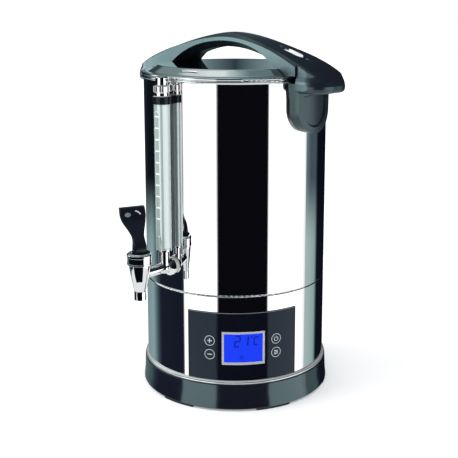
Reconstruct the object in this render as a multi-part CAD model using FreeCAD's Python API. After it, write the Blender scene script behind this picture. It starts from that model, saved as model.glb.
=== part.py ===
# Electric all-in-one brewer / hot-drinks urn, ten litre class.  All sizes in millimetres.
# Frame: +Z up, origin on the tank's axis at the level the feet stand on.
# The tap points along -Y, the side handles lie along +X and -X, the control panel sits between
# the tap and the +X handle, and the appliance inlet is at the back, along +Y.
import FreeCAD, Part
import math
import os

V = FreeCAD.Vector
os.makedirs("parts", exist_ok=True)

# ---------------------------------------------------------------- driving dimensions
TANK_R = 113.0          # outside radius of tank and lower band
WALL = 0.8              # stainless sheet
TANK_RI = TANK_R - WALL
SEAM_Z = 141.3          # joint line between lower band and tank
RIM_Z = 391.6           # centre of the tank's rolled rim
RIM_RR = 1.8            # bead radius
RIM_RC = TANK_RI + RIM_RR
BAND_BOT = 30.5
BASE_R = 118.4          # foot of the black base
TRIM_Z0, TRIM_Z1 = 33.0, 37.1
LID_TOP = 405.0         # lid plateau
LID_T = 0.8
PLATEAU_R = 96.0

TAP_AZ = -90.0
PANEL_AZ = -43.0
INLET_AZ = 90.0
VENT_AZ = -80.0

TAP_R = 164.0           # tap axis from tank axis
TUBE_RAD = 125.3        # sight tube axis from tank axis
PIPE_Z = 171.4          # tap inlet height
SPOUT_BOT, SPOUT_TOP = 141.4, 152.4
SPOUT_R, SPOUT_BORE = 7.2, 4.7
SPOUT_BORE_TOP = 158.0
BONNET_Z0, BONNET_Z1, BONNET_R = 184.4, 198.0, 14.9
PIVOT_Z = 201.3         # lever pin
CAM_FLOOR = 192.3
CAM_RISE = 3.0          # stem lift at full tilt
LEVER_DEG = 30.0
LEVER_TOP = 246.6
LEVER_TWIST = -112.0    # lever's tilt direction from the tap's outward direction
TUBE_RO, TUBE_RI = 9.5, 7.6
TUBE_Z0, TUBE_Z1 = 194.0, 372.0
CAP_TOP = 397.5

HANDLE_W = 31.0         # half width at the ends
HANDLE_TIP = 155.5      # grip tip from tank axis
ARCH_END = 118.5        # where the lid's arch ends
GRIP_START = 118.8
GRIP_Z0 = 379.0
BRACKET_W = 28.3        # half width of the bracket
BRACKET_RO = 126.0
BRACKET_Z0, BRACKET_Z1 = 330.5, 389.3

PANEL_HALF = 34.5       # degrees
PANEL_Z0, PANEL_Z1 = 37.6, 121.6
LCD_HALF = 12.95
LCD_Z0, LCD_Z1 = 57.4, 98.2
WIN_HALF = 11.7
WIN_Z0, WIN_Z1 = 60.4, 95.6
BTN_AZ = 20.4           # from the panel's middle
BTN_Z = (69.4, 86.4)
BTN_R = 6.5
BTN_TRAVEL = 0.6

INLET_Z = 62.0

NODES = {}


# ---------------------------------------------------------------- helpers
def save(name, shape):
    solids = shape.Solids if hasattr(shape, "Solids") else [shape]
    solids = [s for s in solids if s.Volume > 0.01]
    if not solids:
        raise ValueError("nothing in " + name)
    out = solids[0] if len(solids) == 1 else Part.makeCompound(solids)
    for s in solids:
        if not s.isValid():
            print("INVALID", name)
    out.exportStep("parts/%s.step" % name)
    NODES[name] = out
    return out


def cyl(r, h, p=(0, 0, 0), d=(0, 0, 1)):
    return Part.makeCylinder(r, h, V(*p), V(*d))


def ring(ro, ri, z0, z1, x=0.0, y=0.0):
    return cyl(ro, z1 - z0, (x, y, z0)).cut(cyl(ri, z1 - z0 + 2, (x, y, z0 - 1)))


def box(x0, x1, y0, y1, z0, z1):
    return Part.makeBox(x1 - x0, y1 - y0, z1 - z0, V(x0, y0, z0))


def fuse(*shapes):
    shapes = list(shapes)
    out = shapes[0].fuse(shapes[1:]) if len(shapes) > 1 else shapes[0]
    try:
        out = out.removeSplitter()
    except Exception:
        pass
    return out


def cut(a, *bs):
    for b in bs:
        a = a.cut(b)
    return a


def turn(shape, deg):
    s = shape.copy()
    s.rotate(V(0, 0, 0), V(0, 0, 1), deg)
    return s


def prof(start, *segs):
    """Face in the XZ plane: points are lines, ('arc', mid, end) and ('spl', [points]) are curves."""
    def P(p):
        return V(p[0], 0, p[1])
    edges, cur = [], start
    for s in segs:
        if s[0] == "arc":
            edges.append(Part.Arc(P(cur), P(s[1]), P(s[2])).toShape())
            cur = s[2]
        elif s[0] == "spl":
            c = Part.BSplineCurve()
            c.interpolate([P(cur)] + [P(q) for q in s[1]])
            edges.append(c.toShape())
            cur = s[1][-1]
        else:
            edges.append(Part.LineSegment(P(cur), P(s)).toShape())
            cur = s
    if (P(cur) - P(start)).Length > 1e-6:
        edges.append(Part.LineSegment(P(cur), P(start)).toShape())
    return Part.Face(Part.Wire(edges))


def lathe(face, x=0.0, ang=360.0, start=0.0):
    s = face.revolve(V(0, 0, 0), V(0, 0, 1), ang)
    if start:
        s.rotate(V(0, 0, 0), V(0, 0, 1), start)
    if s.ShapeType != "Solid" and s.Solids:
        s = s.Solids[0]
    if x:
        s.translate(V(x, 0, 0))
    return s


def sector(r0, r1, z0, z1, a0, a1):
    """Piece of a cylindrical shell, a0 to a1 degrees."""
    return lathe(prof((r0, z0), (r1, z0), (r1, z1), (r0, z1)), ang=a1 - a0, start=a0)


def rrect_wire(w, t, r, z, cx=0.0, cy=0.0):
    """Rounded rectangle in a horizontal plane: t along X, w along Y."""
    hx, hy = t / 2.0, w / 2.0
    k = r * (1 - math.sqrt(0.5))
    e = []
    def L(a, b):
        e.append(Part.LineSegment(V(cx + a[0], cy + a[1], z), V(cx + b[0], cy + b[1], z)).toShape())
    def A(a, m, b):
        e.append(Part.Arc(V(cx + a[0], cy + a[1], z), V(cx + m[0], cy + m[1], z), V(cx + b[0], cy + b[1], z)).toShape())
    L((-hx + r, -hy), (hx - r, -hy))
    A((hx - r, -hy), (hx - k, -hy + k), (hx, -hy + r))
    L((hx, -hy + r), (hx, hy - r))
    A((hx, hy - r), (hx - k, hy - k), (hx - r, hy))
    L((hx - r, hy), (-hx + r, hy))
    A((-hx + r, hy), (-hx + k, hy - k), (-hx, hy - r))
    L((-hx, hy - r), (-hx, -hy + r))
    A((-hx, -hy + r), (-hx + k, -hy + k), (-hx + r, -hy))
    return Part.Wire(e)


def lead(points, r, k=0.45):
    """Round lead along straight runs joined by tangent arcs."""
    pts = [V(*p) for p in points]
    edges, cur = [], pts[0]
    for i in range(1, len(pts) - 1):
        a, b, c = pts[i - 1], pts[i], pts[i + 1]
        u, w = (b - a), (c - b)
        lu, lw = u.Length, w.Length
        u, w = u.multiply(1 / lu), w.multiply(1 / lw)
        turn_ = math.acos(max(-1, min(1, u.dot(w))))
        t = k * min(lu, lw)
        s, e = b - u * t, b + w * t
        bis = (w - u)
        bis.normalize()
        rad = t / math.tan(turn_ / 2)
        m = b + bis * (rad / math.cos(turn_ / 2) - rad)
        edges.append(Part.LineSegment(cur, s).toShape())
        edges.append(Part.Arc(s, m, e).toShape())
        cur = e
    edges.append(Part.LineSegment(cur, pts[-1]).toShape())
    wire = Part.Wire(edges)
    d = pts[1] - pts[0]
    circ = Part.Wire([Part.Circle(pts[0], d, r).toShape()])
    return wire.makePipeShell([circ], True, False), wire.Length


# ---------------------------------------------------------------- base
BOSS_R = 106.0
BOSS_AZ = (20, 110, 200, 290)
FOOT_AZ = [-84.5 + 60 * k for k in range(6)]

base = lathe(prof((113.15, 33.0), (115.6, 33.0), ("arc", (116.4, 32.7), (116.7, 31.9)),
                  (117.1, 20.0), ("spl", [(117.5, 12.0), (118.2, 5.5), (BASE_R, 3.6)]),
                  ("arc", (118.1, 2.6), (117.4, 2.2)), (112.0, 2.2), (112.0, 27.5), (104.0, 27.5),
                  (104.0, BAND_BOT), (113.15, BAND_BOT)))
bosses = []
for a in BOSS_AZ:
    b = cyl(5.6, 22.6, (BOSS_R, 0, 5.0)).common(cyl(112.4, 40))
    b = fuse(b, box(BOSS_R, 112.3, -1.5, 1.5, 5.0, 27.6))
    bosses.append(turn(b, a))
base = fuse(base, *bosses)
for a in BOSS_AZ:
    base = base.cut(turn(cyl(1.7, 14.0, (BOSS_R, 0, 4.9)), a))
save("base_ring", base)

feet = []
for a in FOOT_AZ:
    f = lathe(prof((112.4, 0.0), (117.0, 0.0), ("arc", (117.6, 0.25), (117.9, 0.8)), (118.05, 2.2), (112.4, 2.2)),
              ang=21.4, start=a - 10.7)
    feet.append(f)
feet.append(lathe(prof((0, 0), (8.4, 0), ("arc", (8.85, 0.18), (9.0, 0.6)), (9.0, 3.0), (0, 3.0))))
save("rubber_feet", Part.makeCompound(feet))

plate = cyl(111.5, 2.0, (0, 0, 3.0))
for a in BOSS_AZ:
    plate = plate.cut(turn(cyl(2.2, 6, (BOSS_R, 0, 1)), a))
slots = []
for k in range(5):
    for sx in (-1, 1):
        y = -28 + 14 * k
        s = fuse(box(sx * 52 - 13, sx * 52 + 13, y - 1.6, y + 1.6, 1, 8), cyl(1.6, 7, (sx * 52 - 13, y, 1)), cyl(1.6, 7, (sx * 52 + 13, y, 1)))
        slots.append(s)
plate = plate.cut(Part.makeCompound(slots))
PCB_C = (0.0, 22.0)
STAND = [(PCB_C[0] + sx * 40, PCB_C[1] + sy * 28) for sx in (-1, 1) for sy in (-1, 1)]
posts = [ring(3.2, 1.3, 4.9, 16.0, x, y) for x, y in STAND]
save("base_plate", fuse(plate, *posts))

scr = []
for a in BOSS_AZ:
    s = fuse(cyl(3.8, 1.9, (BOSS_R, 0, 1.1)), cyl(1.65, 12.0, (BOSS_R, 0, 2.9)))
    s = s.cut(box(BOSS_R - 2.6, BOSS_R + 2.6, -0.5, 0.5, 0.9, 2.1)).cut(box(BOSS_R - 0.5, BOSS_R + 0.5, -2.6, 2.6, 0.9, 2.1))
    scr.append(turn(s, a))
save("base_screws", Part.makeCompound(scr))

trim = lathe(prof((113.05, TRIM_Z0), (115.0, TRIM_Z0), ("arc", (115.9, 34.1), (115.6, 35.4)), ("arc", (114.9, 36.6), (113.7, 37.1)), (113.05, 37.1)))
save("trim_ring", trim)

# ---------------------------------------------------------------- lower band and tank
band = lathe(prof((TANK_RI, BAND_BOT), (TANK_R, BAND_BOT), (TANK_R, SEAM_Z - 1.3), ("arc", (112.62, SEAM_Z - 0.38), (111.7, SEAM_Z)),
                  (103.0, SEAM_Z), (103.0, SEAM_Z - WALL), (TANK_RI, SEAM_Z - WALL)))
band = band.cut(turn(sector(105, 120, 41.0, 118.0, -32.5, 32.5), PANEL_AZ))
band = band.cut(turn(fuse(box(100, 120, -13.9, 13.9, INLET_Z - 10.2, INLET_Z + 10.2),
                          cyl(1.8, 30, (95, -20, INLET_Z), (1, 0, 0)), cyl(1.8, 30, (95, 20, INLET_Z), (1, 0, 0))), INLET_AZ))
save("lower_band", band)

tank = lathe(prof((0, SEAM_Z), (111.7, SEAM_Z), ("arc", (112.62, SEAM_Z + 0.38), (TANK_R, SEAM_Z + 1.3)), (TANK_R, RIM_Z - 0.5), (TANK_R, RIM_Z), (TANK_RI, RIM_Z),
                  (TANK_RI, SEAM_Z + 5.0), ("arc", (111.0, SEAM_Z + 2.2), (108.2, SEAM_Z + 1.0)), (0, SEAM_Z + 1.0)))
bead = Part.makeTorus(RIM_RC, RIM_RR, V(0, 0, RIM_Z), V(0, 0, 1))
tank = fuse(tank, bead)
HS_Z = (346.0, 373.0)
holes = [turn(cyl(6.4, 20, (105, 0, PIPE_Z), (1, 0, 0)), TAP_AZ), turn(cyl(2.1, 20, (105, 0, 370.3), (1, 0, 0)), TAP_AZ)]
for a in (0, 180):
    for z in HS_Z:
        holes.append(turn(cyl(2.7, 20, (105, 0, z), (1, 0, 0)), a))
tank = cut(tank, *holes)
save("tank", tank)

# ---------------------------------------------------------------- heater under the tank
HP_Z0 = SEAM_Z - 3.0
save("heating_plate", cyl(84.0, 3.0, (0, 0, HP_Z0)))
EL_R, EL_r = 62.0, 4.0
EL_Z = HP_Z0 - EL_r - 0.02
face = Part.Face(Part.Wire([Part.Circle(V(EL_R, 0, EL_Z), V(0, 1, 0), EL_r).toShape()]))
el = face.revolve(V(0, 0, 0), V(0, 0, 1), 320)
el.rotate(V(0, 0, 0), V(0, 0, 1), 110)
parts = [el]
for a in (110, 70):
    c = (EL_R * math.cos(math.radians(a)), EL_R * math.sin(math.radians(a)))
    parts += [Part.makeSphere(EL_r, V(c[0], c[1], EL_Z)), cyl(EL_r, 16, (c[0], c[1], EL_Z - 16)), cyl(1.6, 10, (c[0], c[1], EL_Z - 26))]
save("heating_element", fuse(*parts))
brk = fuse(box(-30, 30, -7, 7, HP_Z0 - 7.6, HP_Z0 - 6.1), box(-30, -28.5, -7, 7, HP_Z0 - 7.6, HP_Z0), box(28.5, 30, -7, 7, HP_Z0 - 7.6, HP_Z0),
           box(-38, -28.5, -7, 7, HP_Z0 - 1.2, HP_Z0), box(28.5, 38, -7, 7, HP_Z0 - 1.2, HP_Z0))
save("cutout_bracket", brk)
co = fuse(cyl(8.0, 6.0, (0, 0, HP_Z0 - 6.05)), box(-16, -7, -3.1, 3.1, HP_Z0 - 4.6, HP_Z0 - 3.8), box(7, 16, -3.1, 3.1, HP_Z0 - 4.6, HP_Z0 - 3.8))
save("thermal_cutout", co)
ntc = fuse(cyl(3.2, 9.0, (0, -32, HP_Z0 - 9.0)), cyl(5.0, 1.0, (0, -32, HP_Z0 - 1.0)), cyl(1.1, 8.0, (-1.5, -32, HP_Z0 - 17.0)), cyl(1.1, 8.0, (1.5, -32, HP_Z0 - 17.0)))
save("temperature_sensor", ntc)

# ---------------------------------------------------------------- electronics in the base
PCB_Z = 16.0
pcb = box(-46, 46, PCB_C[1] - 34, PCB_C[1] + 34, PCB_Z, PCB_Z + 1.6)
for x, y in STAND:
    pcb = pcb.cut(cyl(1.7, 6, (x, y, PCB_Z - 2)))
save("power_board", pcb)
T = PCB_Z + 1.6
save("relay", box(-38, -9, 30, 43, T, T + 16))
save("transformer", fuse(box(6, 38, 12, 40, T, T + 14), box(9, 35, 8, 44, T, T + 24)))
save("terminal_block", cut(box(-38, -6, 46, 54, T, T + 12), *[cyl(1.8, 8, (-34 + 8 * i, 50, T + 6)) for i in range(4)]))
save("capacitors", Part.makeCompound([cyl(6.3, 20, (-26, 0, T)), cyl(5.0, 14, (-8, 2, T)), cyl(5.0, 14, (6, -2, T))]))

# ---------------------------------------------------------------- control panel
def btn_axis_cyl(r, x0, x1, az, z):
    return turn(cyl(r, x1 - x0, (x0, 0, z), (1, 0, 0)), az)


frame = sector(TANK_R + 0.02, 114.0, PANEL_Z0, PANEL_Z1, -PANEL_HALF, PANEL_HALF).cut(
    sector(100, 120, PANEL_Z0 - 1, PANEL_Z1 - 1.7, -PANEL_HALF + 0.85, PANEL_HALF - 0.85))
save("panel_frame", turn(frame, PANEL_AZ))

lens_half, lens_top = PANEL_HALF - 0.9, PANEL_Z1 - 1.8
lens = sector(TANK_R + 0.02, 113.8, PANEL_Z0, lens_top, -lens_half, lens_half)
lens = fuse(lens, sector(111.4, 113.2, 41.4, 117.6, -32.1, 32.1))
lens = lens.cut(sector(100, 120, LCD_Z0 - 0.1, LCD_Z1 + 0.1, -LCD_HALF - 0.05, LCD_HALF + 0.05))
for s in (-1, 1):
    for z in (54.0, 104.0):
        lens = fuse(lens, cyl(3.0, 9.0, (96.0, s * 43.0, z), (1, 0, 0)).common(cyl(112.5, 200)))
for s in (-1, 1):
    for z in BTN_Z:
        lens = lens.cut(btn_axis_cyl(BTN_R + 0.2, 100, 120, s * BTN_AZ, z))
save("panel_lens", turn(lens, PANEL_AZ))

bezel = sector(111.6, 114.2, LCD_Z0, LCD_Z1, -LCD_HALF, LCD_HALF).cut(
    sector(100, 120, WIN_Z0, WIN_Z1, -WIN_HALF, WIN_HALF))
save("display_bezel", turn(bezel, PANEL_AZ))
win = sector(112.4, 113.6, WIN_Z0 + 0.05, WIN_Z1 - 0.05, -WIN_HALF + 0.03, WIN_HALF - 0.03)
save("display_window", turn(win, PANEL_AZ))
lcdm = box(96.0, 109.0, -24.2, 24.2, 57.6, 98.0).common(cyl(111.3, 200))
save("display_module", turn(lcdm, PANEL_AZ))
dpcb = box(94.4, 96.0, -48, 48, 50, 108)
save("display_board", turn(dpcb, PANEL_AZ))
names = {(-1, 1): "button_plus", (-1, 0): "button_minus", (1, 1): "button_power", (1, 0): "button_set"}
sw = []
for s in (-1, 1):
    for i, z in enumerate(BTN_Z):
        b = btn_axis_cyl(BTN_R, 110.6, 118.0, s * BTN_AZ, z).common(sector(110.0, 113.95, z - 10, z + 10, s * BTN_AZ - 6, s * BTN_AZ + 6))
        b = fuse(b, btn_axis_cyl(1.6, 108.2, 111.6, s * BTN_AZ, z))
        save(names[(s, i)], turn(b, PANEL_AZ))
        body = turn(box(104.8, 108.5, -3.1, 3.1, z - 3.1, z + 3.1), s * BTN_AZ)
        body = fuse(body, box(96.0, 98.5, s * 36.3 - 2.5, s * 36.3 + 2.5, z - 2.5, z + 2.5),
                    turn(box(98.0, 105.2, -2.5, 2.5, z - 2.5, z + 2.5), s * BTN_AZ))
        body = body.cut(btn_axis_cyl(1.85, 106.9, 112, s * BTN_AZ, z))
        body = body.cut(box(80, 96.0, -60, 60, 40, 120))
        sw.append(turn(body, PANEL_AZ))
save("tact_switches", Part.makeCompound([s for b in sw for s in b.Solids]))

# ---------------------------------------------------------------- appliance inlet, back
fl = Part.Face(rrect_wire(50, 24, 8, 0)).extrude(V(0, 0, 9))
fl.rotate(V(0, 0, 0), V(0, 1, 0), 90)          # stands along +X: X thickness, Y width, Z height
fl.translate(V(109.0, 0, INLET_Z))
fl = fl.cut(cyl(TANK_R + 0.05, 60, (0, 0, INLET_Z - 30)))
inl = fuse(fl, box(97, 116, -13.5, 13.5, INLET_Z - 9.8, INLET_Z + 9.8))
rec = box(100, 122, -12, 12, INLET_Z - 8.2, INLET_Z + 8.2)
for s in (-1, 1):                               # the two keyed corners
    w = Part.makePolygon([V(99, s * 12.2, INLET_Z + 8.4), V(99, s * 12.2, INLET_Z + 3.6), V(99, s * 7.4, INLET_Z + 8.4), V(99, s * 12.2, INLET_Z + 8.4)])
    rec = rec.cut(Part.Face(w).extrude(V(24, 0, 0)))
inl = inl.cut(rec)
for s in (-1, 1):
    inl = inl.cut(cyl(1.75, 20, (104, s * 20, INLET_Z), (1, 0, 0)))
save("inlet_socket", turn(inl, INLET_AZ))
pins = [box(92, 112.4, y - 2.0, y + 2.0, INLET_Z + zo - 1.0, INLET_Z + zo + 1.0) for y, zo in ((-7, -2), (7, -2), (0, 2))]
inl2 = NODES["inlet_socket"]
for p in pins:
    inl2 = inl2.cut(turn(p, INLET_AZ))
save("inlet_socket", inl2)
save("inlet_pins", turn(Part.makeCompound(pins), INLET_AZ))
isc = []
for s in (-1, 1):
    h = fuse(cyl(3.2, 1.7, (118.0, s * 20, INLET_Z), (1, 0, 0)), cyl(1.6, 12, (106.5, s * 20, INLET_Z), (1, 0, 0)))
    h = h.cut(box(119.0, 120, s * 20 - 2.2, s * 20 + 2.2, INLET_Z - 0.45, INLET_Z + 0.45)).cut(box(119.0, 120, s * 20 - 0.45, s * 20 + 0.45, INLET_Z - 2.2, INLET_Z + 2.2))
    isc.append(h)
save("inlet_screws", turn(Part.makeCompound(isc), INLET_AZ))

leads = []
for (px, xb) in ((-7, -34), (7, -26), (0, -18)):
    l, n = lead([(px, 91.8, INLET_Z + (2 if px == 0 else -2)), (px, 74, INLET_Z + (2 if px == 0 else -2)), (xb, 62, INLET_Z - 18), (xb, 58.5, T + 9), ], 1.3)
    leads.append(l)
c1 = (EL_R * math.cos(math.radians(110)), EL_R * math.sin(math.radians(110)))
c2 = (EL_R * math.cos(math.radians(70)), EL_R * math.sin(math.radians(70)))
save("power_leads", Part.makeCompound(leads))
hl = []
for (c, xb) in ((c1, -30.0), (c2, -14.0)):
    l, n = lead([(c[0], c[1], EL_Z - 26.2), (c[0], c[1], EL_Z - 48), (xb, 47.0, 66), (xb, 36.5, T + 30), (xb, 36.5, T + 16.2)], 1.3)
    hl.append(l)
save("heater_leads", Part.makeCompound(hl))

# ---------------------------------------------------------------- side handles and lid handle
#           u,   top,   edge,  half width
STN = [(0, 444.0, 438.4, 19.5), (20, 442.2, 437.2, 20.0), (40, 438.2, 434.2, 21.5), (60, 432.9, 429.8, 23.6), (80, 426.8, 424.0, 26.2),
       (100, 420.2, 416.6, 29.2), (116, 413.8, 409.6, 30.9), (128, 408.6, 403.8, HANDLE_W), (138, 403.3, 397.8, HANDLE_W),
       (146, 398.0, 392.4, HANDLE_W), (153, 392.2, 388.0, HANDLE_W), (161, 385.4, 383.6, HANDLE_W)]


def station(u, zt, ze, w, zb):
    q = zt - min(1.1, 0.45 * (zt - ze))
    a, b, b2, c2, c, d, m = V(u, -w, zb), V(u, -w, ze), V(u, -w + 5.5, q), V(u, w - 5.5, q), V(u, w, ze), V(u, w, zb), V(u, 0, zt)
    L = Part.LineSegment
    return Part.Wire([L(a, b).toShape(), L(b, b2).toShape(), Part.Arc(b2, m, c2).toShape(), L(c2, c).toShape(), L(c, d).toShape(), L(d, a).toShape()])


def span(st, zb):
    return Part.makeLoft([station(u, zt, ze, w, zb) for u, zt, ze, w in st], True, False)


full = [(-u, a, b, c) for u, a, b, c in reversed(STN[1:])] + STN
arch_all = span(full, 375.0)

# the arch over the lid: hand opening and lid clearance taken out
lid_env = lathe(prof((0, LID_TOP), (PLATEAU_R + 0.4, LID_TOP), (105.6, 398.5), (108.2, 397.65), (119.5, 397.65), (119.5, 370), (0, 370)))
arch = arch_all.common(box(-ARCH_END, ARCH_END, -50, 50, 397.65, 460))
arch = arch.cut(lid_env)


def gap_wire(y, apex, r):
    """Hand opening's outline at depth y: an arc of radius r down to below the lid."""
    x = r * math.sin(math.radians(52.0)) if r < 140 else r * math.sin(math.radians(36.0))
    z = apex - r + math.sqrt(r * r - x * x)
    L = Part.LineSegment
    return Part.Wire([Part.Arc(V(-x, y, z), V(0, y, apex), V(x, y, z)).toShape(), L(V(x, y, z), V(x, y, 330)).toShape(),
                      L(V(x, y, 330), V(-x, y, 330)).toShape(), L(V(-x, y, 330), V(-x, y, z)).toShape()])


GAP_IN, GAP_OUT = (426.5, 162.0), (441.5, 116.0)     # apex and radius at y = 9 and y = 30: the edges are eased for the hand
mid = Part.Face(gap_wire(-9.0, *GAP_IN)).extrude(V(0, 18.0, 0))
arch = arch.cut(mid)
for sy in (-1, 1):
    arch = arch.cut(Part.makeLoft([gap_wire(sy * 9.0, *GAP_IN), gap_wire(sy * 30.0, *GAP_OUT), ], True, True))
# screw pilot holes in the feet, and the lock's slot and channel in the +X foot
SCREW_XY = [(sx * 89.0, sy * 12.0) for sx in (-1, 1) for sy in (-1, 1)]
for x, y in SCREW_XY:
    arch = arch.cut(cyl(1.9, 12.5, (x, y, 403.5)))
CH_Z0, CH_Z1 = 405.7, 409.7
SLOT_U = (78.6, 107.6)
KNOB_U = (78.9, 104.3)


def stadium(u0, u1, r, z0, z1):
    return fuse(box(u0 + r, u1 - r, -r, r, z0, z1), cyl(r, z1 - z0, (u0 + r, 0, z0)), cyl(r, z1 - z0, (u1 - r, 0, z0)))


arch = arch.cut(box(95.2, 113.6, -9.0, 9.0, CH_Z0, CH_Z1)).cut(box(113.0, ARCH_END + 1, -5.2, 5.2, CH_Z0, CH_Z1))
arch = arch.cut(stadium(SLOT_U[0], SLOT_U[1], 7.0, CH_Z1 - 0.1, 440))
save("lid_handle", arch)

bolt = fuse(box(95.6, 110.3, -8.7, 8.7, CH_Z0 + 0.25, CH_Z1 - 0.3), box(110.0, 117.9, -4.9, 4.9, CH_Z0 + 0.25, CH_Z1 - 0.3))
save("lock_bolt", bolt)
kn = stadium(KNOB_U[0], KNOB_U[1], 6.7, CH_Z1 + 0.1, 440)
kn = kn.common(fuse(box(70, 95.4, -9, 9, CH_Z1, 445), box(95.4, 120, -9, 9, CH_Z1 - 0.3, 445)))
kn = fuse(kn, box(96.2, 102.0, -5.0, 5.0, CH_Z1 - 0.3, CH_Z1 + 0.5))
top = [(u, float(zt)) for u, zt, ze, w in STN]


def arch_z(u):
    for (u0, z0), (u1, z1) in zip(top, top[1:]):
        if u0 <= u <= u1:
            return z0 + (z1 - z0) * (u - u0) / (u1 - u0)
    return top[-1][1]


pts = [V(u, -9, arch_z(u) - 0.45) for u in (74, 80, 86, 92, 98, 104, 110)]
above = Part.Face(Part.makePolygon(pts + [V(110, -9, 445), V(74, -9, 445), pts[0]])).extrude(V(0, 18, 0))
kn = kn.cut(above)
dish = cyl(26.0, 9.6, (91.6, -4.8, arch_z(91.6) + 25.0), (0, 1, 0))
kn = kn.cut(dish)
save("lock_button", kn)

ls = []
for x, y in SCREW_XY:
    ls.append(fuse(cyl(3.4, 2.2, (x, y, LID_TOP - LID_T - 2.2)), cyl(1.85, 11.0, (x, y, LID_TOP - LID_T - 0.1))).cut(
        box(x - 2.6, x + 2.6, y - 0.5, y + 0.5, LID_TOP - 4, LID_TOP - LID_T - 1.2)))
save("lid_handle_screws", Part.makeCompound(ls))


def bracket_wire(x, w, z0, z1, flare=0.0):
    """Upright shield outline at distance x: straight sides, half-round bottom, a little wider at the top if flared."""
    L = Part.LineSegment
    zc = z0 + w
    e = [Part.Arc(V(x, -w, zc), V(x, 0, z0), V(x, w, zc)).toShape()]
    if flare:
        e += [L(V(x, w, zc), V(x, w + 0.3, z1 - 18)).toShape(), L(V(x, w + 0.3, z1 - 18), V(x, w + flare, z1 - 5)).toShape(), L(V(x, w + flare, z1 - 5), V(x, w + flare, z1)).toShape(),
              L(V(x, w + flare, z1), V(x, -w - flare, z1)).toShape(), L(V(x, -w - flare, z1), V(x, -w - flare, z1 - 5)).toShape(),
              L(V(x, -w - flare, z1 - 5), V(x, -w - 0.3, z1 - 18)).toShape(), L(V(x, -w - 0.3, z1 - 18), V(x, -w, zc)).toShape()]
    else:
        e += [L(V(x, w, zc), V(x, w, z1)).toShape(), L(V(x, w, z1), V(x, -w, z1)).toShape(), L(V(x, -w, z1), V(x, -w, zc)).toShape()]
    return Part.Wire(e)


def grip_outline(inset, z):
    """Plan outline of a grip at height z, drawn in by inset."""
    r, tipx, w = 24.0 - inset, HANDLE_TIP - inset, HANDLE_W + 0.5 - inset
    k = r * math.sqrt(0.5)
    L = Part.LineSegment
    cx, cy = tipx - r, w - r
    return Part.Wire([L(V(100, -w, z), V(cx, -w, z)).toShape(), Part.Arc(V(cx, -w, z), V(cx + k, -cy - k, z), V(tipx, -cy, z)).toShape(),
                      L(V(tipx, -cy, z), V(tipx, cy, z)).toShape(), Part.Arc(V(tipx, cy, z), V(cx + k, cy + k, z), V(cx, w, z)).toShape(),
                      L(V(cx, w, z), V(100, w, z)).toShape(), L(V(100, w, z), V(100, -w, z)).toShape()])


def side_handle():
    dome = Part.makeLoft([grip_outline(i, z) for i, z in ((3.0, 379.0), (0.8, 380.8), (0.0, 384.0), (0.0, 387.0), (1.2, 392.0), (3.4, 397.0))], True, True)
    dome = fuse(dome, Part.Face(grip_outline(3.4, 397.0)).extrude(V(0, 0, 40)))
    grip = arch_all.common(dome).common(box(GRIP_START, 200, -40, 40, GRIP_Z0, 430))
    outline = Part.Face(bracket_wire(100, BRACKET_W, BRACKET_Z0, BRACKET_Z1, 1.9)).extrude(V(60, 0, 0))
    brk_ = cyl(BRACKET_RO, 80, (0, 0, 320)).cut(cyl(TANK_R + 0.05, 100, (0, 0, 310))).common(outline)
    h = fuse(grip, brk_)
    # shield shaped inset on the bracket's face, its walls sloped
    io = Part.makeLoft([bracket_wire(120.0, 17.0, BRACKET_Z0 + 12.5, 371.0), bracket_wire(130.0, 26.0, BRACKET_Z0 + 3.5, 380.0)], True, True)
    h = h.cut(io.cut(cyl(BRACKET_RO - 2.4, 120, (0, 0, 310))))
    h = h.cut(cyl(117.2, 12, (0, 0, BRACKET_Z1)))          # clear of both rims above the bracket
    for z in HS_Z:
        h = h.cut(cyl(3.3, 9.2, (112, 0, z), (1, 0, 0)))
    return h


sh = side_handle()
pocket = box(GRIP_START - 2, GRIP_START + 2.8, -5.4, 5.4, CH_Z0, CH_Z1)
save("right_side_handle", sh.cut(pocket))
save("left_side_handle", turn(sh, 180))
ins, hsc, hsw = [], [], []
for a in (0, 180):
    for z in HS_Z:
        i = cyl(3.3, 8.0, (113.1, 0, z), (1, 0, 0)).cut(cyl(2.5, 30, (100, 0, z), (1, 0, 0)))
        ins.append(turn(i.cut(cyl(TANK_R + 0.05, 20, (0, 0, z - 10))), a))
        s = fuse(cyl(4.6, 2.4, (108.1, 0, z), (1, 0, 0)), cyl(2.45, 10.2, (110.4, 0, z), (1, 0, 0)))
        s = s.cut(cyl(1.5, 1.5, (107.9, 0, z), (1, 0, 0)))
        hsc.append(turn(s, a))
        w = cyl(5.5, 4, (110.5, 0, z), (1, 0, 0)).cut(cyl(2.6, 8, (108, 0, z), (1, 0, 0))).common(cyl(TANK_RI, 20, (0, 0, z - 10)))
        hsw.append(turn(w, a))
save("handle_inserts", Part.makeCompound(ins))
save("handle_screws", Part.makeCompound(hsc))
save("handle_screw_seals", Part.makeCompound(hsw))

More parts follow.
